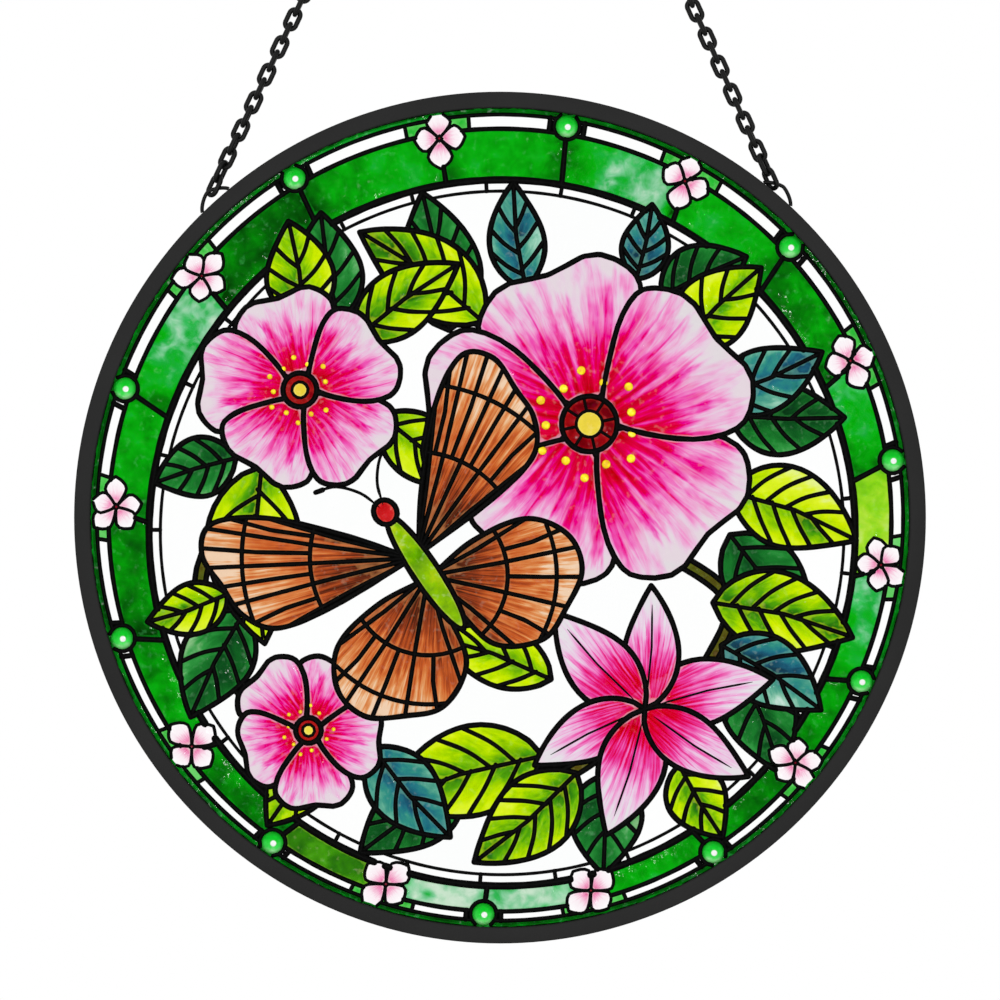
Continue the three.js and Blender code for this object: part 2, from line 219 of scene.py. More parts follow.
def addFigure(kind, at, turn, length, width, outline, bend=0, veins=(), line="outline"):
    figure = {"kind": kind, "at": at, "turn": turn, "length": length, "width": width, "bend": bend,
              "line": line}
    figure["outline"] = carry(outline, figure)
    figure["veins"] = [(carry(points, figure), use) for points, use in veins]
    figures.append(figure)


leafLook = {    # shares of the leaf's length
    "firstVein": 0.13, "veins": 0.6, "veinReach": 0.25, "stagger": 0.04, "veinBow": (0.42, 0.5),
    "rib": (0, 0.5, 0.96), "longLeaf": 30, "belly": 0.8, "blunt": 0.9,
}


def leafHalf(width, share):    # half the width of a leaf at a share of its length
    return width / 2 * np.sin(np.pi * share ** leafLook["belly"]) ** leafLook["blunt"]


def leafOutline(length, width, steps=16):
    share = np.arange(steps + 1) / steps
    half = leafHalf(width, share)
    half[[0, -1]] = 0
    side = np.column_stack((length * share, half))
    return np.vstack((side, side[-2:0:-1] * (1, -1)))


def leaf(at, turn, length, width, bend, kind="limeLeaf"):
    veins = [([(share * length, 0) for share in leafLook["rib"]], "vein")]
    pairs = 4 if length > leafLook["longLeaf"] else 3
    bowAlong, bowAcross = leafLook["veinBow"]
    for k in range(pairs):
        start = length * (leafLook["firstVein"] + leafLook["veins"] * k / pairs)
        tip = start + length * leafLook["veinReach"]
        for side in (1, -1):
            shift = 0 if side > 0 else leafLook["stagger"] * length
            half = side * leafHalf(width, (tip + shift) / length)
            route = [(start + shift, 0), (start + bowAlong * (tip - start) + shift, half * bowAcross),
                     (tip + shift, half)]
            veins.append((curveThrough(route, 5), "vein"))
    addFigure(kind, at, turn, length, width, leafOutline(length, width), bend, veins)


roseLook = {    # shares of the rose's radius; the petal's own shape is in shares of its length and width
    "petals": 5, "petalFoot": 0.1, "petalReach": 0.9, "petalWidth": 1.04, "petalBend": 10, "uneven": 0.06,
    "taper": 0.3, "widest": 0.78, "notch": 0.05, "notchWidth": 0.34, "ruffle": 0.02, "ruffles": 7,
    "heart": 0.16, "eye": 0.48, "cells": 8, "cellsFrom": 30,
}


def petalOutline(length, width, steps=36):
    taper = roseLook["taper"]
    angle = np.arange(steps) * 2 * math.pi / steps
    reach = (1 - np.cos(angle)) / 2
    notch = roseLook["notch"] * np.exp(-((angle - math.pi) / roseLook["notchWidth"]) ** 2)
    ruffle = roseLook["ruffle"] * np.cos(roseLook["ruffles"] * angle) * reach ** 2
    across = width / 2 * np.sin(angle) * (taper + (1 - taper) * reach) / roseLook["widest"]
    return np.column_stack((length * (reach - notch + ruffle), -across))


def rose(middle, radius, turn):
    width = radius * roseLook["petalWidth"]
    uneven = roseLook["uneven"]
    for k in range(roseLook["petals"]):
        heading = turn + 360 / roseLook["petals"] * k
        at = clockPoint(radius * roseLook["petalFoot"], 90 - heading, middle)
        length = radius * roseLook["petalReach"] * (1 - uneven + uneven * math.sin(k * 2.4))
        addFigure("rosePetal", at, heading, length, width, petalOutline(length, width),
                  roseLook["petalBend"] * math.sin(k * 1.7 + 1))
    heart = radius * roseLook["heart"]
    eye = heart * roseLook["eye"]
    cells = []
    if radius > roseLook["cellsFrom"]:
        for k in range(roseLook["cells"]):
            angle = 360 / roseLook["cells"] * k
            cells.append(([clockPoint(eye, angle), clockPoint(heart, angle)], "petal"))
    addFigure("roseHeart", middle, turn, heart, 2 * heart, circle((0, 0), heart, 24), 0, cells)
    addFigure("roseEye", middle, turn, eye, heart, circle((0, 0), eye, 16), line="petal")
    stamens.append((middle, radius, turn, len(figures) - 1))


lilyLook = {    # broad and narrow petals in turn: length and width in shares of the radius, and bend
    "petals": [(1, 0.5, -14), (0.94, 0.42, 14)], "rib": (0.1, 0.5, 0.84),
}


def lily(middle, radius, turn):
    for k in range(6):
        reach, breadth, bend = lilyLook["petals"][k % 2]
        length, width = radius * reach, radius * breadth
        rib = ([(share * length, 0) for share in lilyLook["rib"]], "crease")
        addFigure("lilyPetal", middle, turn + 60 * k, length, width, leafOutline(length, width), bend,
                  [rib])


def wing(root, turn, shape, side):    # an outline through a few places, and veins that fan out in it
    reach = shape["reach"]
    foot = (0.02 * reach, 0)
    rim = curveThrough([foot, *shape["rim"], foot], 10)[:-1]
    flip = np.array((1, side))
    veins = []
    for index, k in enumerate(shape["veins"]):    # every other vein starts at the inner cross vein
        start = index % 2 * shape["cross"][0] * reach / np.hypot(*rim[k])
        if start < 0.9:
            middle = rim[k] * (1 + start) / 2 * (1, 0.94)
            veins.append(([rim[k] * start, middle, rim[k]], "vein"))
    for share in shape["cross"]:
        reached = np.flatnonzero(np.hypot(*rim.T) > share * reach)
        ends = np.degrees(np.arctan2(rim[reached[[0, -1]], 1], rim[reached[[0, -1]], 0]))
        arc = [clockPoint(share * reach, 90 - angle) for angle in np.linspace(*ends, 12)]
        veins.append((arc, "vein"))
    addFigure("wing", root, turn, reach, shape["width"], rim * flip, 0,
              [(np.asarray(points) * flip, use) for points, use in veins])


def oval(at, turn, length, width, kind):
    outline = circle((0, 0), 1, 28) * (length / 2, width / 2) + (length / 2, 0)
    addFigure(kind, at, turn, length, width, outline)


def stem(points, width):
    line = curveThrough(points)
    way = np.gradient(line, axis=0)
    way /= np.hypot(*way.T)[:, None]
    across = np.column_stack((-way[:, 1], way[:, 0])) * width / 2
    addFigure("stem", (0, 0), 0, 1, width, np.vstack((line + across, (line - across)[::-1])))


foreWing = {
    "reach": 50, "width": 30,
    "rim": [(16, -7), (34, -13), (47, -13), (50, -6), (46, 2), (42, 9), (34, 13), (20, 9)],
    "veins": (20, 26, 32, 38, 44, 50, 56, 64, 72), "cross": (0.5, 0.82),
}
hindWing = {
    "reach": 36, "width": 32,
    "rim": [(10, -9), (22, -15), (32, -12), (36, -4), (33, 5), (28, 13), (17, 15), (8, 8)],
    "veins": (20, 28, 34, 42, 50, 58, 66), "cross": (0.52, 0.84),
}
butterflyLook = {    # each with its place along the body, ahead of the middle
    "wings": [(-2, 128, hindWing), (3, 62, foreWing)],
    "ovals": [(-17, 32, 6, "butterflyBody"), (13, 6, 5.4, "butterflyHead")],
    "feelerFoot": 18, "feeler": [(0, 0.6), (5, 2.4), (9.5, 6.4), (11, 11)],
}


def butterfly(root, turn):
    ahead = np.array(clockPoint(1, 90 - turn))
    for place, spread, shape in butterflyLook["wings"]:
        for side in (1, -1):
            wing(root + place * ahead, turn + spread * side, shape, side)
    for place, length, width, kind in butterflyLook["ovals"]:
        oval(root + place * ahead, turn, length, width, kind)
    head = {"at": root + butterflyLook["feelerFoot"] * ahead, "turn": turn, "length": 1, "bend": 0}
    for side in (-1, 1):
        route = curveThrough([(along, across * side) for along, across in butterflyLook["feeler"]])
        feelers.append(carry(route, head))


stemWidth = 2.6
stems = [
    [(-52, 16), (-70, -12), (-64, -36), (-46, -54)], [(-40, -56), (-16, -66), (12, -62), (34, -47)],
    [(36, -6), (54, -20), (46, -40)], [(-40, 42), (-22, 53), (4, 42)],
]
darkLeaves = [    # the foot's place, heading, length, width and bend, from the back to the front
    ((-12, 44), 96, 33, 19, 10), ((-38, 46), 104, 26, 16, -10), ((38, 52), 30, 22, 15, -10),
    ((54, 24), -6, 27, 17, 10), ((54, -4), -56, 30, 18, 16), ((56, -34), -64, 28, 17, -10),
    ((26, -60), 262, 24, 17, 8), ((-8, -62), 208, 30, 17, 12), ((-60, -22), 236, 28, 17, 14),
    ((-62, 14), 192, 20, 14, 10),
]
lightLeaves = [    # the same; lime green where no other kind is given
    ((-4, 46), 134, 36, 18, 20), ((6, 54), 104, 25, 13, -15, "tealLeaf"), ((42, 40), 50, 27, 17, -12),
    ((32, 56), 72, 18, 11, 12, "tealLeaf"), ((54, 6), -10, 32, 19, -22),
    ((50, 28), 16, 28, 15, 14, "tealLeaf"), ((50, -20), -4, 34, 19, -20),
    ((52, -30), -26, 28, 16, -14, "tealLeaf"), ((10, -56), 188, 40, 21, 18),
    ((18, -60), 228, 32, 18, -14), ((42, -58), 296, 20, 14, 10), ((12, -38), 152, 30, 14, 16),
    ((14, -20), 118, 24, 12, -16), ((-56, 12), 258, 42, 22, 26), ((-64, -18), 206, 20, 12, -14),
    ((-46, 46), 92, 24, 16, 14), ((-34, 42), 42, 30, 15, -12), ((-28, 24), 318, 28, 15, 14),
    ((-42, -52), 244, 24, 15, -12), ((-30, -54), 304, 28, 16, 14, "tealLeaf"),
]
roses = [((-45, -50), 19, 60), ((-47, 30), 25, 100), ((21, 22), 41, 102)]    # middle, radius and turn

for points in stems:
    stem(points, stemWidth)
for row in darkLeaves:
    leaf(*row, "darkLeaf")
for row in lightLeaves:
    leaf(*row)
lily((34, -45), 31, 20)
for row in roses:
    rose(*row)
butterfly(np.array((-18.0, -12.0)), 124)
pictureFigures = len(figures)

# ---- Border: rings, bars, blossoms and cabochons ----

border = {
    "rim": ((0, 0), 94.7), "band": ((0, -0.6), 91.95), "field": ((0.5, -3.6), 82.95),
    "inner": ((0.5, -3.6), 80.3),
    "blossomDistance": 90.2, "jewelDistance": 93.2, "jewelSeat": 3.1,
    # angle clockwise from the top, petals, turn
    "blossoms": [(-9.1, 4, -4), (28.8, 4, 25), (65.9, 4, -20), (97.1, 5, -20), (129.7, 5, 10),
                 (166.3, 4, 47), (197.3, 4, 50), (233.4, 4, 47), (271.6, 5, 5), (309, 5, 45)],
    "jewels": [9.7, 47, 81.7, 114.4, 147.5, 182.4, 215, 252.3, 289, 328.8],
    "petalLength": 7.0, "petalWidth": 5.2, "innerBars": 29, "firstInnerBar": -2.6,
    "petalSide": [(0, 0), (0.3, 0.62), (0.6, 1), (0.84, 0.64), (1, 0)], "heart": 0.7,
    "blossomSpan": 4.6, "jewelSpan": 2.5,    # degrees from the middle to the short lines at each side
}

for angle, petals, turn in border["blossoms"]:
    middle = clockPoint(border["blossomDistance"], angle)
    width = border["petalWidth"] * (1.1 if petals == 4 else 0.96)
    for k in range(petals):
        reach = border["petalLength"] * (0.92 + 0.1 * math.sin(angle + 2.3 * k))
        lean = 6 * math.sin(angle * 0.7 + 3.1 * k)
        side = curveThrough([(x * reach, y * (width / 2)) for x, y in border["petalSide"]], 4)
        addFigure("blossomPetal", middle, 90 - (turn + 360 * k / petals) + lean, reach, width,
                  np.vstack((side, side[-2:0:-1] * (1, -1))), line="petal")
    heart = border["heart"]
    addFigure("blossomHeart", middle, 0, heart, 2 * heart, circle((0, 0), heart, 12), line="petal")
for angle in border["jewels"]:
    middle = clockPoint(border["jewelDistance"], angle)
    addFigure("seat", middle, 0, 3, 6, circle((0, 0), border["jewelSeat"], 32), line="seat")
print("figures", len(figures))
for figure in figures:
    figure["box"] = (figure["outline"].min(0), figure["outline"].max(0))

# ---- Contour lines: what shows of each outline, vein, ring and bar ----

lineUse = {    # width and height of the bead of contour paste, in millimetres
    "outline": (1.35, 1.0), "vein": (1.1, 0.9), "crease": (0.5, 0.5), "petal": (0.8, 0.85),
    "seat": (1.05, 0.9), "bar": (1.35, 0.95), "rim": (1.0, 0.85), "band": (1.15, 0.9),
    "field": (1.8, 1.0), "inner": (0.8, 0.8), "tick": (1.0, 0.8), "antenna": (0.75, 0.8),
    "club": (1.25, 0.9),
}
lineStep = 1.0
wallPlay = 0.15        # how far a line runs on where it parts the glass, so that each pane is closed
shortestBead = 0.3
weldReach = 0.01       # points of the sheet nearer than this are one


def within(points, figure):    # which points lie in a figure
    low, high = figure["box"]
    near = np.all((points >= low) & (points <= high), axis=1)
    if near.any():
        near[near] = inside(points[near], figure["outline"])
    return near


def covered(points, layer):    # which points lie behind a figure further forward, or behind the frame
    hidden = np.hypot(*points.T) > openingRadius
    for figure in figures[layer + 1:]:
        hidden |= within(points, figure)
    return hidden


def atCorners(points, sharp=45):    # parts a closed outline where it turns sharply
    before = points - np.roll(points, 1, axis=0)
    after = np.roll(points, -1, axis=0) - points
    bend = np.abs(np.degrees(np.arctan2(before[:, 0] * after[:, 1] - before[:, 1] * after[:, 0],
                                        (before * after).sum(axis=1))))
    corners = np.flatnonzero(bend > sharp)
    if not len(corners):
        return [(points, True)]
    points = np.roll(points, -corners[0], axis=0)
    ends = [*(corners - corners[0]), len(points)]
    points = np.vstack((points, points[:1]))
    return [(points[a:b + 1], False) for a, b in zip(ends, ends[1:])]


beads = []    # what shows of each line: its points, whether it closes on itself, and its use
walls = []    # the same lines, run on a little at their ends


def edgeOfCover(seen, hidden, layer):    # where a line goes behind a figure, found by halving
    for _ in range(7):
        between = (seen + hidden) / 2
        if covered(between[None], layer)[0]:
            hidden = between
        else:
            seen = between
    return seen


def layLine(points, use, layer, closed=False):
    line = spaced(points, lineStep, closed)
    hidden = covered(line, layer)
    if closed and not hidden.any():
        beads.append((line, True, use))
        walls.append((line, True, use))
        return
    if closed:
        first = int(np.flatnonzero(hidden)[0])
        line = np.roll(line, -first, axis=0)
        hidden = np.roll(hidden, -first)
        line = np.vstack((line, line[:1]))
        hidden = np.append(hidden, True)
    shows = np.flatnonzero(~hidden)
    if not len(shows):
        return
    for run in np.split(shows, np.flatnonzero(np.diff(shows) > 1) + 1):
        first, last = run[0], run[-1]
        seen = list(line[run])
        before, after = seen[:1], seen[-1:]
        if first > 0:
            before = [edgeOfCover(line[first], line[first - 1], layer)]
        if last < len(line) - 1:
            after = [edgeOfCover(line[last], line[last + 1], layer)]
        shown = np.array([*before, *seen[1:-1], *after])
        if np.hypot(*(shown[-1] - shown[0])) < shortestBead and len(shown) < 3:
            continue
        beads.append((shown, False, use))
        wall = line[max(0, first - 1):last + 2].copy()
        for tip, inner in ((0, 1), (-1, -2)):
            way = wall[tip] - wall[inner]
            wall[tip] += way / np.hypot(*way) * wallPlay
        walls.append((wall, False, use))


rimMiddle, rimRadius = border["rim"]
bandMiddle, bandRadius = border["band"]
fieldMiddle, fieldRadius = border["field"]
blossomAngles = [angle for angle, petals, turn in border["blossoms"]]
for use in ("rim", "band", "field", "inner"):
    middle, radius = border[use]
    layLine(circle(middle, radius, 360), use, -1, closed=True)
for k in range(border["innerBars"]):
    angle = border["firstInnerBar"] + 360 * k / border["innerBars"]
    layLine([clockPoint(border["inner"][1], angle, fieldMiddle),
             clockPoint(fieldRadius, angle, fieldMiddle)], "tick", -1)
for angle in blossomAngles + border["jewels"]:
    layLine([clockPoint(fieldRadius, angle, fieldMiddle),
             clockPoint(border["jewelDistance"], angle)], "bar", -1)
for middles, span, use in ((blossomAngles, border["blossomSpan"], "tick"),
                           (border["jewels"], border["jewelSpan"], "bar")):
    for angle in (middle + side * span for middle in middles for side in (-1, 1)):
        layLine([clockPoint(bandRadius, angle, bandMiddle), clockPoint(rimRadius, angle)], use, -1)
for layer, figure in enumerate(figures):
    for points, closed in atCorners(figure["outline"]):
        layLine(points, figure["line"], layer, closed)
    for points, use in figure["veins"]:
        layLine(points, use, layer)
for feeler in feelers:
    layLine(feeler, "antenna", pictureFigures - 1)
    layLine(feeler[-4:], "club", pictureFigures - 1)
print("beads", len(beads))

# ---- The sheet: hammered float glass, painted with transparent colour and parted into panes ----

sheet = {
    "grid": 1.15,          # spacing of the points that carry the hammered relief
    "shake": 0.1, "rimGap": 0.6, "lineGap": 0.45,
    "hammer": 2.8, "hammerDepth": 0.05, "ripple": 1.3, "rippleDepth": 0.02,
    "fillet": 0.10, "filletWidth": 0.6,    # paint drawn up against the lines
    "rimSteps": 240,
}
paints = {    # brush streaks, blots, mottling by the hammered face with painted white glints, the colour of a painted highlight along a pane's rim, stops of the colour
    "clear": (0, 0, 0, "#ffffff", {0: "#fbfdfc", 1: "#ffffff"}),
    "rimGreen": (0.5, 0.6, 0.2, "#046c10", {0.2: "#012c04", 0.5: "#025c0a", 0.75: "#048c18", 1: "#1ca838"}),
    "band": (0.4, 0.85, 0.1, "#0ca41c", {
        0: "#001a00", 0.14: "#013c02", 0.3: "#026a02", 0.46: "#03a004", 0.6: "#06b80a", 0.72: "#20b448",
        0.84: "#8cd8ac", 1: "#eefaf0"}),
    "limeBand": (0.4, 0.8, 0.1, "#8cd030", {
        0: "#023804", 0.2: "#186c02", 0.36: "#34980a", 0.5: "#5cb80a", 0.64: "#8cdc10", 0.78: "#b8ea30",
        0.9: "#d8f080", 1: "#f0f8dc"}),
    "bit": (0.4, 0.5, 0.15, "#70dc6c", {0: "#068410", 0.5: "#14b424", 1: "#8ce48a"}),
    "limeLeaf": (0.4, 0.6, 0.08, "#c4ec20", {
        0: "#012c04", 0.14: "#0a5806", 0.26: "#2c8c02", 0.38: "#74bc00", 0.5: "#b0dc00", 0.66: "#d8f000",
        0.84: "#ecfa30", 1: "#f6fac0"}),
    "tealLeaf": (0.5, 0.8, 0.1, "#6cb8a4", {
        0: "#02142c", 0.2: "#06345c", 0.38: "#0c5c78", 0.54: "#1c8074", 0.7: "#58a88c", 0.86: "#a4d8bc",
        1: "#e0f2e8"}),
    "rosePetal": (1.1, 0.6, 0.02, "#f4c8e2", {
        0: "#a40000", 0.16: "#cc0006", 0.3: "#e00020", 0.42: "#e60064", 0.54: "#ec2498", 0.66: "#f064b8",
        0.78: "#eca4d2", 0.9: "#e4cce0", 1: "#e0dcde"}),
    "roseHeart": (0.2, 0.6, 0.2, "#c42420", {0: "#340004", 0.45: "#84000a", 1: "#c41010"}),
    "roseEye": (0.2, 0.6, 0.1, "#fff48c", {0: "#d8a800", 1: "#fff040"}),
    "darkLeaf": (0.5, 0.6, 0.1, "#2c8c3c", {
        0: "#011a08", 0.2: "#033410", 0.4: "#085018", 0.6: "#167828", 0.8: "#38a048", 1: "#a8d8a0"}),
    "lilyPetal": (0.9, 0.6, 0.02, "#f4d4e8", {
        0: "#b80004", 0.16: "#d80018", 0.3: "#e4045c", 0.44: "#ea389c", 0.6: "#f084c6", 0.76: "#eebce0",
        0.9: "#e8d8e6", 1: "#e6e2e6"}),
    "wing": (1.1, 0.6, 0.06, "#d88c54", {
        0: "#1c0602", 0.18: "#4c1006", 0.36: "#8c280c", 0.54: "#c44c18", 0.72: "#dc8040", 0.88: "#eeb480",
        1: "#fae4c8"}),
    "butterflyBody": (0.6, 1.0, 0.2, "#e0f050", {
        0: "#1c6404", 0.4: "#70b800", 0.7: "#ccdc08", 1: "#f2f2e0"}),
    "butterflyHead": (0.4, 0.4, 0.2, "#f06050", {0: "#900008", 0.5: "#cc0c14", 1: "#e83830"}),
    "stem": (0.4, 0.8, 0.2, "#6c7420", {0: "#241a04", 0.5: "#4c300c", 1: "#3c6c14"}),
    "blossomPetal": (0.4, 0.2, 0.03, "#ffffff", {
        0: "#a00838", 0.2: "#e03c80", 0.34: "#f07cb2", 0.48: "#f8c0d8", 0.62: "#fceaf2", 1: "#fffdfe"}),
    "blossomHeart": (0.2, 0.4, 0.1, "#8c1428", {0: "#3c020c", 1: "#7c1020"}),
    "seat": (0, 0, 0, "#ffffff", {0: "#e8f6ea", 1: "#ffffff"}),
}
kinds = list(paints)

rimmed = [bead for bead in beads if bead[2] not in ("crease", "antenna", "club")]
lineTree = kdtree.KDTree(sum(len(points) for points, closed, use in rimmed))
lineHalf = []
for points, closed, use in rimmed:
    for x, y in points:
        lineTree.insert((x, y, 0), len(lineHalf))
        lineHalf.append(lineUse[use][0] / 2)
lineTree.balance()


def lineDistance(x, y):    # from a place on the glass to the edge of the nearest line
    place, index, gap = lineTree.find((x, y, 0))
    return max(0.0, gap - lineHalf[index])


def gridPoints():    # an uneven grid over the sheet, clear of its rim and of the lines
    shake = random.Random(3)
    shift = sheet["shake"]
    step = sheet["grid"]
    rise = step * math.sqrt(0.75)
    rows = int(glassRadius / rise) + 1
    for row in range(-rows, rows + 1):
        for column in range(-rows, rows + 1):
            x = (column + 0.5 * (row % 2)) * step + shake.uniform(-shift, shift)
            y = row * step * math.sqrt(0.75) + shake.uniform(-shift, shift)
            if (math.hypot(x, y) < glassRadius - sheet["rimGap"]
                    and lineTree.find((x, y, 0))[2] > sheet["lineGap"]):
                yield x, y


def cutSheet(withGrid):    # triangles of one side of the sheet: points, faces and the pane of each face
    points, edges = [], []
    opening = spaced(circle((0, 0), openingRadius, 360), 2 * lineStep, True)
    rim = circle((0, 0), glassRadius, sheet["rimSteps"])
    for line, closed, use in [*walls, (opening, True, "opening"), (rim, True, "glass")]:
        if use == "glass":
            drawn = len(edges)
        first = len(points)
        points.extend(map(tuple, line))
        edges.extend((k, k + 1) for k in range(first, len(points) - 1))
        if closed:
            edges.append((len(points) - 1, first))
    if withGrid:
        points.extend(gridPoints())
    verts, lines, faces, _, fromEdges, _ = delaunay_2d_cdt(
        [Vector(p) for p in points], edges, [], 0, weldReach, True)
    parting = {tuple(sorted(lines[k])) for k, origins in enumerate(fromEdges)
               if any(origin < drawn for origin in origins)}
    verts = np.array([tuple(v) for v in verts])
    faces = np.array([tuple(f) for f in faces])
    touching = {}
    for index, corners in enumerate(faces):
        for a, b in zip(corners, np.roll(corners, -1)):
            touching.setdefault((min(a, b), max(a, b)), []).append(index)
    beside = [[] for _ in faces]
    for edge, pair in touching.items():
        if len(pair) == 2 and edge not in parting:
            beside[pair[0]].append(pair[1])
            beside[pair[1]].append(pair[0])
    pane = np.full(len(faces), -1)
    for start in range(len(faces)):
        if pane[start] < 0:
            pane[start] = pane.max() + 1
            pending = [start]
            while pending:
                for other in beside[pending.pop()]:
                    if pane[other] < 0:
                        pane[other] = pane[start]
                        pending.append(other)
    return verts, faces, pane


sectorEnds = [    # how pale each sector of the green band is at its two ends, clockwise from the first bar
    (0.55, 0.50), (0.50, 1.00), (0.60, 0.55), (0.30, 0.45), (0.80, 0.50), (0.60, 0.90), (0.80, 0.70),
    (0.45, 0.30), (0.10, 0.50), (0.50, 0.50), (0.85, 0.95), (1.10, 0.85), (0.20, 0.15), (0.25, 0.40),
    (0.50, 0.40), (0.30, 0.35), (0.40, 0.55), (0.60, 0.95), (0.30, 0.20), (0.42, 0.62),
]
bars = sorted(blossomAngles + border["jewels"])
sectorTones = dict(zip(bars, sectorEnds))
limeSectors = (81.7, 197.3)


def sectorOf(angle):    # the bar before an angle, and the share of the way to the next bar
    angle = (angle - bars[0]) % 360 + bars[0]
    bar = max(b for b in bars if b <= angle)
    after = bars[(bars.index(bar) + 1) % len(bars)]
    return bar, (angle - bar) / ((after - bar) % 360)


def regionOf(centres):    # the figure at each place, and the kind of glass of the border under it
    region = np.full(len(centres), -1)
    ground = np.full(len(centres), kinds.index("clear"))
    fromField = np.hypot(*(centres - fieldMiddle).T)
    fromBand = np.hypot(*(centres - bandMiddle).T)
    ground[(fromField > fieldRadius) & (fromBand < bandRadius)] = kinds.index("band")
    ground[np.hypot(*(centres - rimMiddle).T) > rimRadius] = kinds.index("rimGreen")
    angle = np.degrees(np.arctan2(centres[:, 0], centres[:, 1]))
    slots = (ground == kinds.index("clear")) & (fromBand > bandRadius)
    for blossom in blossomAngles:
        beside = np.abs((angle - blossom + 180) % 360 - 180) < border["blossomSpan"]
        ground[beside & slots] = kinds.index("bit")
    for layer, figure in enumerate(figures):
        region[within(centres, figure)] = layer
    return region, ground


brush = {    # how the paint was laid on
    "unit": 10, "rimUnits": (9, 2),    # millimetres to a unit of the streaks' grain; round the rim, its own
    "toneSize": 7.3, "toneSlice": 4.2, "paneShift": 13,    # what differs from one pane to the next
    "sectorDip": 0.3,    # deeper green at both ends of a sector of the band
}


def paint(points, faces, pane):    # for each face its kind, and for each corner its grain and shade
    corners = points[faces]
    centres = corners.mean(axis=1)
    area = np.abs(np.cross(corners[:, 1] - corners[:, 0], corners[:, 2] - corners[:, 0])) + 1e-9
    region, ground = regionOf(centres)
    kind = np.zeros(len(faces), int)
    grain = np.zeros((len(faces), 3, 2))
    shade = np.zeros((len(faces), 3, 2))
    gap = np.array([lineDistance(x, y) for x, y in points])
    shade[:, :, 1] = gap[faces] / brush["unit"]
    order = np.argsort(pane, kind="stable")
    for group in np.split(order, np.flatnonzero(np.diff(pane[order])) + 1):
        votes = {}
        for index in group:
            key = (region[index], ground[index])
            votes[key] = votes.get(key, 0) + area[index]
        layer, under = max(votes, key=votes.get)
        middle = np.average(centres[group], axis=0, weights=area[group])
        tone = 0.5 + 0.5 * noise.noise(Vector((*(middle / brush["toneSize"]), brush["toneSlice"])))
        places = corners[group].reshape(-1, 2)
        if layer < 0:
            kind[group] = under
            polar = np.degrees(np.arctan2(places[:, 0], places[:, 1]))
            (across, along), value = places.T / brush["unit"], np.full(len(places), tone)
            if kinds[under] == "band":
                bar, share = sectorOf(math.degrees(math.atan2(*middle)))
                ways = [sectorOf(angle) for angle in polar]
                shares = np.array([way if at == bar else round(share) for at, way in ways])
                start, end = sectorTones[bar]
                value = start + (end - start) * shares - brush["sectorDip"] * (2 * shares - 1) ** 4
                if bar in limeSectors:
                    kind[group] = kinds.index("limeBand")
            if kinds[under] == "rimGreen":
                about, outward = brush["rimUnits"]
                across, along = np.radians(polar) * about, np.hypot(*places.T) / outward
        else:
            figure = figures[layer]
            kind[group] = kinds.index(figure["kind"])
            s, n = carryBack(places, figure)
            share = np.clip(s / figure["length"], 0, 1)
            side = n / (figure["width"] / 2)
            across, along, value = grainOf(figure["kind"], share, side, tone, places)
        grain[group] = np.column_stack((across + brush["paneShift"] * tone, along)).reshape(-1, 3, 2)
        shade[group, :, 0] = np.clip(value, 0, 1).reshape(-1, 3)
    return kind, grain, shade, gap


def grainOf(kind, share, side, tone, places):    # how the paint was brushed in one figure
    if kind in ("rosePetal", "lilyPetal", "blossomPetal"):    # streaks fan out, paler towards the tip
        fan = side / (0.3 + 0.7 * share)
        return fan * 3.2, share * 1.1, 1.12 * share
    if kind in ("limeLeaf", "tealLeaf", "darkLeaf"):    # streaks slant off the rib, dark along it
        drift = share - 0.3 * np.abs(side)
        value = 0.1 + 0.58 * np.abs(side) ** 0.7 + 0.1 * share + 0.9 * (tone - 0.5)
        return drift * 4, np.abs(side) * 1.2, value
    if kind == "wing":    # narrow streaks fan out from the root, dark near it
        fan = side / (0.2 + share)
        return fan * 8, share * 1.5, 1.15 * share - 0.1 + 0.5 * (tone - 0.5)
    return *places.T / brush["unit"], np.full(len(share), tone)


def rimOf(points):    # the points on the sheet's own rim, in order round it
    outer = np.flatnonzero(np.hypot(*points.T) > glassRadius - weldReach)
    return outer[np.argsort(np.arctan2(points[outer, 0], points[outer, 1]))]


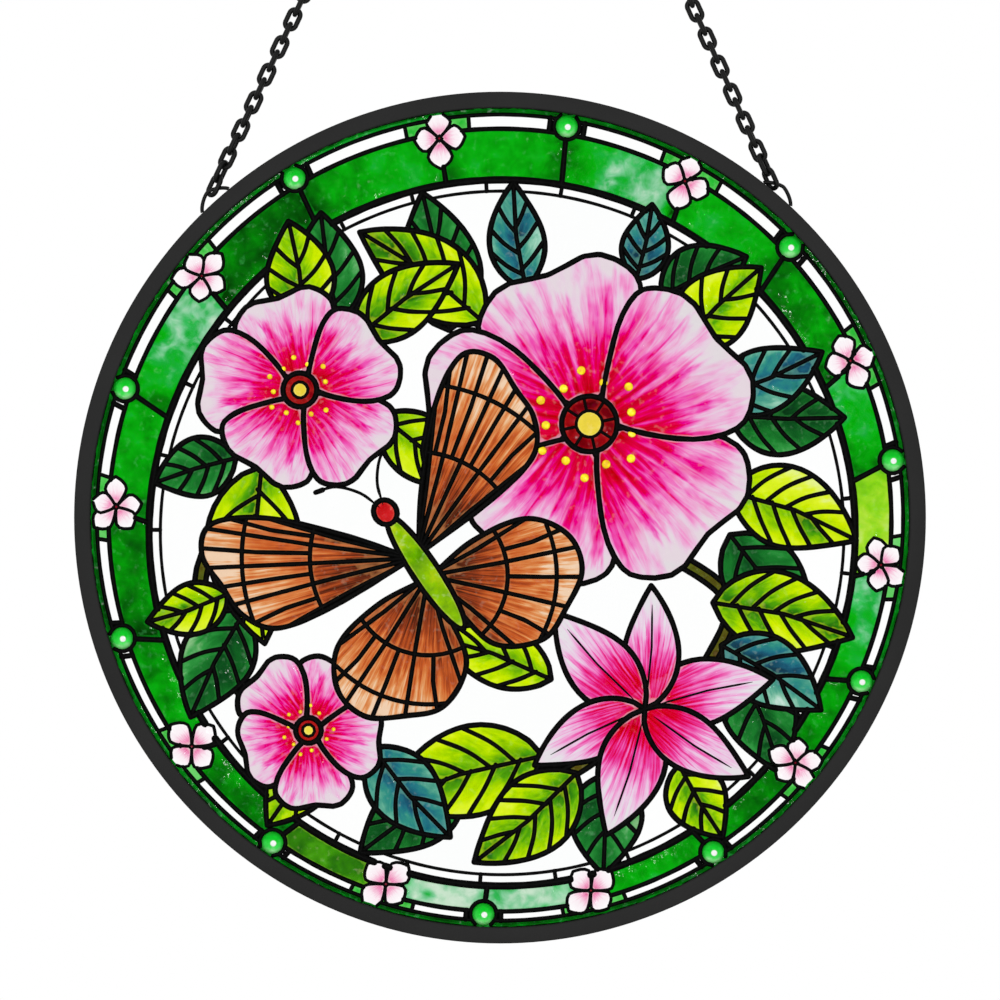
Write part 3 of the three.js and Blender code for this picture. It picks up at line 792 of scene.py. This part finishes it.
def glassSheet():
    front, frontFaces, frontPane = cutSheet(True)
    back, backFaces, backPane = cutSheet(False)
    kindF, grainF, shadeF, gap = paint(front, frontFaces, frontPane)
    kindB, grainB, shadeB, _ = paint(back, backFaces, backPane)
    verts = []
    for (x, y), away in zip(front, gap):
        relief = (sheet["hammerDepth"] * noise.noise(Vector((x, y, 0)) / sheet["hammer"])
                  + sheet["rippleDepth"] * noise.noise(Vector((x, y, 9)) / sheet["ripple"]))
        fillet = sheet["fillet"] * math.exp(-away / sheet["filletWidth"])
        if math.hypot(x, y) > openingRadius:
            relief, fillet = 0, 0
        verts.append(spot(x, y, glassFront - relief - fillet))
    verts.extend(spot(x, y, glassBack) for x, y in back)
    rimFront, rimBack = rimOf(front), rimOf(back) + len(front)
    side = np.column_stack((rimFront, rimBack, np.roll(rimBack, -1), np.roll(rimFront, -1))).tolist()
    faces = frontFaces.tolist() + (backFaces[:, ::-1] + len(front)).tolist()
    materials = [newMaterial("painted_glass_" + kind, paintedGlass, *paints[kind]) for kind in kinds]
    piece = newPiece("glass_sheet", verts, faces + side, materials, ["panel_disc"])
    mesh = piece.data
    kind = np.concatenate((kindF, kindB, np.full(len(side), kinds.index("rimGreen"))))
    mesh.polygons.foreach_set("material_index", kind.astype(np.int32))
    mesh.polygons.foreach_set("use_smooth", [True] * len(faces) + [False] * len(side))
    for name, first, second in (("grain", grainF, grainB), ("shade", shadeF, shadeB)):
        layer = mesh.uv_layers.new(name=name)
        values = np.concatenate((first.reshape(-1, 2), second[:, ::-1].reshape(-1, 2),
                                 np.full((4 * len(side), 2), 0.3)))
        layer.data.foreach_set("uv", values.ravel())
    print("glass", len(front), len(back), len(faces), "panes", frontPane.max() + 1, backPane.max() + 1)


def paintedGlass(tree, streaks, blots, mottleAndGlints, edgeGlintColour, stops):
    place = add(tree, "TexCoord").outputs["Object"]
    grain = add(tree, "UVMap", {"uv_map": "grain"})
    shade = add(tree, "SeparateXYZ", links={0: add(tree, "UVMap", {"uv_map": "shade"})})
    streak = add(tree, "TexNoise", {"noise_dimensions": "2D", "Scale": 2.4, "Detail": 3.0,
                                    "Roughness": 0.55, "Distortion": 0.35}, {"Vector": grain})
    blot = add(tree, "TexNoise", {"Scale": 1 / (7 * mm), "Detail": 2.0, "Roughness": 0.6},
               {"Vector": place})
    sway = add(tree, "Math", {"operation": "MULTIPLY_ADD", 1: streaks}, {0: streak, 2: shade})
    sway = add(tree, "Math", {"operation": "MULTIPLY_ADD", 1: blots}, {0: blot, 2: sway})
    factor = add(tree, "Math", {"operation": "SUBTRACT", 1: (streaks + blots) / 2}, {0: sway})
    ramp = add(tree, "ValToRGB", {"stops": stops}, {0: factor})
    dapple = add(tree, "TexNoise", {"Scale": 1 / (1.7 * mm), "Detail": 2.0, "Roughness": 0.55},
                 {"Vector": place})
    dull = add(tree, "MapRange", {"From Min": 0.35, "From Max": 0.62, "To Min": 1 - mottleAndGlints, "To Max": 1.0},
               {0: dapple})
    mottled = add(tree, "Mix", {"data_type": "RGBA", "blend_type": "MULTIPLY", 0: 1.0}, {6: ramp, 7: dull})
    # painted glints: white flecks screened onto the colour where the hammer noise is high
    glintFleck = add(tree, "MapRange", {"From Min": 0.6, "From Max": 0.8, "To Max": 2 * mottleAndGlints}, {0: dapple})
    glinted = add(tree, "Mix", {"data_type": "RGBA", "blend_type": "SCREEN", 7: colour("#ffffff")},
                  {0: glintFleck, 6: mottled.outputs[2]})
    # painted highlight: a pale rim on each pane beside the lines, fading out 0.4 mm from them
    rim = add(tree, "MapRange", {"From Min": 0.01, "From Max": 0.04, "To Min": 0.5, "To Max": 0.0},
              {0: shade.outputs["Y"]})
    edgeGlinted = add(tree, "Mix", {"data_type": "RGBA", 7: colour(edgeGlintColour)}, {0: rim, 6: glinted.outputs[2]})
    hammer = add(tree, "TexNoise", {"Scale": 1 / (2.2 * mm), "Detail": 2.0, "Roughness": 0.5},
                 {"Vector": place})
    bump = add(tree, "Bump", {"Strength": 0.35, "Distance": 0.25 * mm}, {"Height": hammer})
    return add(tree, "BsdfPrincipled", {"Roughness": 0.06, "IOR": 1.5, "Transmission Weight": 1.0,
                                        "Specular Tint": (0.03, 0.03, 0.03, 1)},
               {"Base Color": edgeGlinted.outputs[2], "Normal": bump})


glassSheet()

# ---- Contour lines: beads of black contour paste, glossy and a little uneven ----

# across and up, in shares of half the width and of the height, from the left foot to the right foot
section = [(-1.0, -0.25), (-0.94, 0.36), (-0.6, 0.84), (0.0, 1.0), (0.6, 0.84), (0.94, 0.36), (1.0, -0.25)]
beadEnd = [(0.9, 0.42), (0.55, 0.82)]    # how far past its last point a bead runs, and its size there
swelling = {"size": 0.10, "length": 4}
brushed = ("crease", "antenna")          # these start and end thin


def sweepBead(points, closed, use, verts, faces):
    width, tall = lineUse[use]
    tall *= glassFront - lineTop
    count = len(points)
    way = np.gradient(points, axis=0)
    if closed:
        way = np.roll(points, -1, axis=0) - np.roll(points, 1, axis=0)
    way /= np.maximum(np.hypot(*way.T)[:, None], 1e-9)
    rows = []
    for k, (x, y) in enumerate(points):
        wave = Vector((x / swelling["length"], y / swelling["length"], 2.0))
        swell = 1 + swelling["size"] * noise.noise(wave)
        fade = min(1.0, 0.3 + 0.25 * min(k, count - 1 - k)) if use in brushed else 1.0
        rows.append((points[k], way[k], swell * fade))
    if not closed:
        start, end, reach = rows[0], rows[-1], width / 2
        rows = ([(start[0] - start[1] * reach * far, start[1], start[2] * size) for far, size in beadEnd]
                + rows
                + [(end[0] + end[1] * reach * far, end[1], end[2] * size) for far, size in beadEnd[::-1]])
    first = len(verts)
    for (x, y), (dx, dy), scale in rows:
        for side, height in section:
            reach = side * width / 2 * scale
            lift = height * tall * (scale if height > 0 else 1)
            verts.append(spot(x - dy * reach, y + dx * reach, glassFront - lift))
    joinAll(faces, first, len(rows), len(section), closed)


def contourPaste(tree):    # acrylic relief paste, squeezed on and dried glossy: deep black, thin glints
    place = add(tree, "TexCoord").outputs["Object"]
    grain = add(tree, "TexNoise", {"Scale": 1 / (0.8 * mm), "Detail": 2.0}, {"Vector": place})
    bump = add(tree, "Bump", {"Strength": 0.3, "Distance": 0.1 * mm}, {"Height": grain})
    tint = add(tree, "ValToRGB", {"stops": {0.3: "#020202", 0.7: "#070707"}}, {0: grain})
    return add(tree, "BsdfPrincipled", {"Roughness": 0.28, "IOR": 1.48, "Specular IOR Level": 0.02},
               {"Base Color": tint, "Normal": bump})


verts, faces = [], []
for points, closed, use in beads:
    sweepBead(points, closed, use, verts, faces)
paste = newMaterial("black_contour_paste", contourPaste)
newPiece("contour_beads", verts, faces, [paste], ["contour_lines"])
print("contour beads", len(faces))


# ---- Wires: the eyes, the chains and the hanging ring ----

def planarWire(path, normal, radius, sides, closed, verts, faces):    # a round wire bent in one plane
    path = np.asarray(path, float)
    way = np.gradient(path, axis=0)
    if closed:
        way = np.roll(path, -1, axis=0) - np.roll(path, 1, axis=0)
    way /= np.linalg.norm(way, axis=1)[:, None]
    first = len(verts)
    for place, ahead in zip(path, way):
        aside = np.cross(normal, ahead)
        for k in range(sides):
            angle = 2 * math.pi * k / sides
            verts.append(place + radius * (math.cos(angle) * aside + math.sin(angle) * normal))
    joinAll(faces, first, len(path), sides, closed)


wires = {
    "linkLength": 6.0, "linkWidth": 3.8, "linkWire": 0.6, "linkSteps": 28,
    "ringWire": 0.6, "ringInside": 5.0, "ringSteps": 64, "ringSides": 16,
    "eyeHalfSpan": 4.2, "eyeFullness": 1.4, "eyeWire": 0.45, "eyeSteps": 32, "footPlay": 0.1,
    "play": 0.3, "sides": 12,
    # the eyes and the chains' hold on them, by their angles from the top and along the rim
    "left": {"side": -1, "links": 43, "eyeAngle": 41.9, "eyeHeight": 2.9, "slide": 1.2},
    "right": {"side": 1, "links": 42, "eyeAngle": 40.6, "eyeHeight": 2.4, "slide": 2.6},
    # a chain that starts or ends in a wire that faces the front is twisted there
    "eyeTwist": 45, "ringTwist": 62, "twistReach": 2.2,
}


def coatedWire(tree):    # black-coated steel wire: dark, with a soft grey gleam along its top
    place = add(tree, "TexCoord").outputs["Object"]
    grain = add(tree, "TexNoise", {"Scale": 1 / (0.5 * mm), "Detail": 3.0}, {"Vector": place})
    tint = add(tree, "ValToRGB", {"stops": {0.3: "#080808", 0.75: "#101010"}}, {0: grain})
    rough = add(tree, "MapRange", {"To Min": 0.3, "To Max": 0.5}, {0: grain})
    bump = add(tree, "Bump", {"Strength": 0.2, "Distance": 0.05 * mm}, {"Height": grain})
    return add(tree, "BsdfPrincipled", {"Metallic": 0.0, "Specular IOR Level": 0.12},
               {"Base Color": tint, "Roughness": rough, "Normal": bump})


def eyeSpot(chain, along):    # a place on the wire of an eye; positive is towards the top
    full = wires["eyeFullness"]
    rise = chain["eyeHeight"] * (1 - (abs(along) / wires["eyeHalfSpan"]) ** full) ** (1 / full)
    angle = math.radians(chain["eyeAngle"])
    out = frameRadius + rise
    return np.array(spot(chain["side"] * (out * math.sin(angle) - along * math.cos(angle)),
                         out * math.cos(angle) + along * math.sin(angle), 0))


def linkPath():    # the middle line of one link, along X
    half = wires["linkWidth"] / 2 - wires["linkWire"]
    straight = (wires["linkLength"] - wires["linkWidth"]) / 2
    angles = 2 * math.pi * (np.arange(wires["linkSteps"]) + 0.5) / wires["linkSteps"]
    return np.column_stack((np.copysign(straight, np.cos(angles)) + half * np.cos(angles),
                            half * np.sin(angles))) * mm


wireCoat = newMaterial("black_coated_wire", coatedWire)
depthWay = np.array((0.0, 1.0, 0.0))    # the side that eyes and ring are flat to
loopLow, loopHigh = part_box("hanging_ring")
loopMiddle = np.array((loopLow + loopHigh) / 2)


def wirePiece(name, paths, radius, sides, closed, node):    # paths: each with the normal of its plane
    verts, faces = [], []
    for path, normal in paths:
        planarWire(path, normal, radius * mm, sides, closed, verts, faces)
    newPiece(name, verts, faces, [wireCoat], [node])


def chainEye(word):    # a low arch of wire, standing on the rim of the frame
    chain = wires[word]
    steps = wires["eyeSteps"]
    full = wires["eyeFullness"]
    foot = (1 - (wires["footPlay"] / chain["eyeHeight"]) ** full) ** (1 / full) * wires["eyeHalfSpan"]
    path = [eyeSpot(chain, -chain["side"] * foot * math.sin(math.radians(180 * k / steps - 90)))
            for k in range(steps + 1)]
    wirePiece("chain_eye_" + word, [(path, depthWay)], wires["eyeWire"], wires["sides"], False,
              "eye_" + word)


def chainLinks(word):    # a straight chain, from its place in the eye to the ring
    chain = wires[word]
    crossing = eyeSpot(chain, chain["slide"])
    along = loopMiddle - crossing
    reach = np.linalg.norm(along)
    along /= reach
    aside = np.cross(along, depthWay)
    linkReach = (wires["linkLength"] - 2 * wires["linkWire"]) * mm
    eyeReach = (wires["eyeWire"] + wires["linkWire"] + wires["play"]) * mm
    ringReach = (wires["ringInside"] - wires["linkWire"] - wires["play"]) * mm
    last = chain["links"] - 1
    pitch = (reach + eyeReach - ringReach - linkReach) / last
    links = []
    for k in range(chain["links"]):
        middle = crossing + along * (linkReach / 2 - eyeReach + k * pitch)
        turn = 90 * (k % 2) + wires["eyeTwist"] * math.exp(-k / wires["twistReach"])
        if last % 2 == 0:
            turn -= wires["ringTwist"] * math.exp((k - last) / wires["twistReach"])
        turn = math.radians(turn)
        across = aside * math.cos(turn) + depthWay * math.sin(turn)
        path = [middle + along * x + across * y for x, y in linkPath()]
        links.append((path, np.cross(along, across)))
    wirePiece("chain_links_" + word, links, wires["linkWire"], wires["sides"], True, "chain_" + word)


def hangingLoop():
    steps = wires["ringSteps"]
    radius = (wires["ringInside"] + wires["ringWire"]) * mm
    path = [loopMiddle + radius * np.array((math.sin(angle), 0, math.cos(angle)))
            for angle in np.arange(steps) * 2 * math.pi / steps]
    wirePiece("hanging_loop", [(path, depthWay)], wires["ringWire"], wires["ringSides"], True,
              "hanging_ring")


for word in ("left", "right"):
    chainEye(word)
    chainLinks(word)
hangingLoop()
print("wires")

# ---- Frame: a channel of steel sheet, rolled into a ring and powder coated ----

channel = {"round": 0.45, "roundSteps": 4, "lip": 0.08, "groove": 2.4, "lipEdge": 0.15, "steps": 240}


def powderCoat(tree):    # powder-coated steel: flat charcoal with a faint orange-peel grain
    place = add(tree, "TexCoord").outputs["Object"]
    peel = add(tree, "TexNoise", {"Scale": 1 / (0.45 * mm), "Detail": 2.0}, {"Vector": place})
    cloud = add(tree, "TexNoise", {"Scale": 1 / (18 * mm), "Detail": 3.0}, {"Vector": place})
    tint = add(tree, "ValToRGB", {"stops": {0.3: "#1a1a1a", 0.7: "#1e1e1e"}}, {0: cloud})
    rough = add(tree, "MapRange", {"To Min": 0.5, "To Max": 0.62}, {0: peel})
    bump = add(tree, "Bump", {"Strength": 0.25, "Distance": 0.05 * mm}, {"Height": peel})
    return add(tree, "BsdfPrincipled", {"Metallic": 0.0, "Specular IOR Level": 0.1},
               {"Base Color": tint, "Roughness": rough, "Normal": bump})


def channelProfile():    # half of the section, from the groove's floor over the front to the outside
    inner, outer, front = frameRadius - frameFace, frameRadius, -frameHalfDepth
    seat = -glassFront + channel["lip"]
    bow, edge, steps = channel["round"], channel["lipEdge"], channel["roundSteps"]
    floor = inner + channel["groove"]
    profile = [(floor, 0), (floor, -seat), (inner + edge, -seat), (inner, -seat - edge)]
    angles = [math.radians(90 * k / steps) for k in range(steps + 1)]
    profile += [(inner + bow * (1 - math.cos(a)), front + bow * (1 - math.sin(a))) for a in angles]
    profile += [(outer - bow * (1 - math.sin(a)), front + bow * (1 - math.cos(a))) for a in angles]
    return profile


half = channelProfile()
profile = [(radius, -depth) for radius, depth in half[1:]] + half[::-1]
verts, faces = [], []
for k in range(channel["steps"]):
    for radius, depth in profile:
        verts.append(spot(*clockPoint(radius, 360 * k / channel["steps"]), depth))
joinAll(faces, 0, channel["steps"], len(profile), True)
frameCoat = newMaterial("charcoal_powder_coat", powderCoat)
newPiece("channel_frame", verts, faces, [frameCoat], ["frame_ring"])
print("frame")

# ---- Cabochons: small domes of green glass, with a painted white highlight dot on the crown ----

cabochon = {"radius": 2.75, "height": 0.8, "sunk": 0.06, "rings": 9, "steps": 36,
            "highlightDot": 0.68, "highlightDotAt": (0.08, -0.06, 0), "highlightDotEdge": 0.04}


def cabochonGlass(tree):    # pressed green glass: deep at the rim, with painted light low down and a painted white highlight dot
    dome = add(tree, "UVMap", {"uv_map": "dome"})
    parts = add(tree, "SeparateXYZ", links={0: dome})
    reach = add(tree, "VectorMath", {"operation": "LENGTH"}, {0: dome})
    cloud = add(tree, "TexNoise", {"Scale": 1 / (1.6 * mm), "Detail": 2.0},
                {"Vector": add(tree, "TexCoord").outputs["Object"]})
    # painted light: the dome is lighter low down
    low = add(tree, "Math", {"operation": "MULTIPLY_ADD", 1: -0.45, 2: 0.35}, {0: parts.outputs["Y"]})
    cloudAndGlow = add(tree, "Math", {"operation": "MULTIPLY_ADD", 1: 0.5}, {0: cloud, 2: low})
    green = add(tree, "ValToRGB", {"stops": {0.1: "#08b81c", 0.45: "#10d02c", 0.75: "#44e458",
                                             1: "#b0f8b0"}}, {0: cloudAndGlow})
    rim = add(tree, "MapRange", {"From Min": 0.7, "From Max": 1.0}, {0: reach.outputs["Value"]})
    ringed = add(tree, "Mix", {"data_type": "RGBA", 7: colour("#08b41c")}, {0: rim, 6: green})
    # painted highlight: a white dot near the crown
    shift = add(tree, "VectorMath", {"operation": "DISTANCE", 1: cabochon["highlightDotAt"]}, {0: dome})
    size = cabochon["highlightDot"] / cabochon["radius"]
    highlightDot = add(tree, "MapRange", {"From Min": size + cabochon["highlightDotEdge"],
                                 "From Max": size - cabochon["highlightDotEdge"]}, {0: shift.outputs["Value"]})
    withHighlight = add(tree, "Mix", {"data_type": "RGBA", 7: colour("#ffffff")}, {0: highlightDot, 6: ringed.outputs[2]})
    return add(tree, "BsdfPrincipled", {"Roughness": 0.05, "IOR": 1.5, "Transmission Weight": 0.45,
                                        "Specular Tint": (0.1, 0.1, 0.1, 1)},
               {"Base Color": withHighlight.outputs[2]})


def cabochonDome(node, name, material):
    low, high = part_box(node)
    middle = ((low + high) / 2 - discMiddle) / mm
    size, tall, steps = cabochon["radius"], cabochon["height"], cabochon["steps"]
    shares = np.arange(cabochon["rings"] + 1) / cabochon["rings"]
    rings = [(size * share, tall * (1 - share ** 2)) for share in shares] + [(size, -cabochon["sunk"])]
    verts, faces = [], []
    addDome(middle.x, middle.z, rings, steps, verts, faces)
    piece = newPiece(name, verts, faces, [material], [node])
    flat = [(0, 0)]    # where each point is, seen from the front, in shares of the radius
    for radius, height in rings[1:]:
        flat += [clockPoint(radius / size, 360 * k / steps) for k in range(steps)]
    layer = piece.data.uv_layers.new(name="dome")
    values = [flat[loop.vertex_index] for loop in piece.data.loops]
    layer.data.foreach_set("uv", np.array(values, float).ravel())


jewelPaint = newMaterial("pressed_green_glass", cabochonGlass)
for index, node in enumerate(jewelNodes):
    cabochonDome(node, "cabochon_%02d" % (index + 1), jewelPaint)
print("cabochons", len(jewelNodes))

# ---- Anthers: drops of yellow enamel round the hearts of the roses ----

anther = {
    "count": 13, "size": 0.026, "smallest": 0.42, "height": 0.5, "from": 0.25, "to": 0.31, "steps": 12,
    "rings": [(0, 1), (0.6, 0.82), (0.9, 0.45), (1.0, -0.2)],    # the drop's section, in shares
}


def yellowEnamel(tree):    # a thick drop of opaque paint: bright yellow, glossy, with ochre patches
    place = add(tree, "TexCoord").outputs["Object"]
    cloud = add(tree, "TexNoise", {"Scale": 1 / (1.2 * mm), "Detail": 2.0}, {"Vector": place})
    tint = add(tree, "ValToRGB", {"stops": {0.3: "#d8a800", 0.6: "#f4e000", 0.8: "#fff46a"}}, {0: cloud})
    return add(tree, "BsdfPrincipled", {"Roughness": 0.25, "Specular IOR Level": 0.3},
               {"Base Color": tint})


verts, faces = [], []
for middle, radius, turn, layer in stamens:
    size = max(anther["smallest"], radius * anther["size"])
    rings = [(size * share, anther["height"] * height) for share, height in anther["rings"]]
    for k in range(anther["count"]):
        reach = radius * (anther["to"] if k % 2 else anther["from"])
        x, y = clockPoint(reach, turn + 360 * k / anther["count"], middle)
        if not covered(np.array([(x, y)]), layer)[0]:
            addDome(x, y, rings, anther["steps"], verts, faces)
enamel = newMaterial("yellow_enamel_drop", yellowEnamel)
newPiece("anther_drops", verts, faces, [enamel], [])
print("anthers")

# ---- Camera, light and floor ----

camera = {"distance": 1600, "widthInView": 234.93, "aboveMiddle": 4.13, "sensor": 36}
data = bpy.data.cameras.new("camera")
data.sensor_width = camera["sensor"]
data.lens = camera["sensor"] * camera["distance"] / camera["widthInView"]
data.clip_end = 20
view = bpy.data.objects.new("camera", data)
view.location = spot(0, camera["aboveMiddle"], glassFront - camera["distance"])
view.rotation_euler = (math.pi / 2, 0, 0)
bpy.context.scene.collection.objects.link(view)
bpy.context.scene.camera = view
bpy.context.scene.view_settings.view_transform = "Standard"

world = bpy.data.worlds.new("studio")
bpy.context.scene.world = world
world.use_nodes = True
world.node_tree.nodes["Background"].inputs["Color"].default_value = (1, 1, 1, 1)
world.node_tree.nodes["Background"].inputs["Strength"].default_value = 1.0


def softLight(name, direction, distance, size, power):
    light = bpy.data.lights.new(name, "AREA")
    light.size = size
    light.energy = power
    lamp = bpy.data.objects.new(name, light)
    lamp.location = discMiddle + Vector(direction).normalized() * distance
    lamp.rotation_euler = (discMiddle - lamp.location).to_track_quat("-Z", "Y").to_euler()
    lamp.visible_camera = False
    bpy.context.scene.collection.objects.link(lamp)


softLight("key", (-0.6, -1.0, 0.9), 1.2, 0.5, 1.5)
sparkleLean = 0.22    # how far the four small lights stand out from the view, for glints on the lines
for k in range(4):
    angle = math.radians(35 + 90 * k)
    direction = (sparkleLean * math.cos(angle), -1.0, sparkleLean * math.sin(angle))
    softLight("sparkle%d" % k, direction, 1.5, 0.025, 1.5)


def floorPaper(tree):    # matt white paper
    return add(tree, "BsdfPrincipled", {"Base Color": colour("#e6e6e4"), "Roughness": 0.9})


floorReach, floorHeight = 1.2, -0.52    # in metres
corners = [(x * floorReach, y * floorReach, floorHeight) for x, y in ((-1, -1), (1, -1), (1, 1), (-1, 1))]
floorMesh = bpy.data.meshes.new("floor")
floorMesh.from_pydata(corners, [], [(0, 1, 2, 3)])
floor = bpy.data.objects.new("floor", floorMesh)
bpy.context.scene.collection.objects.link(floor)
floorMesh.materials.append(newMaterial("floor_paper", floorPaper))
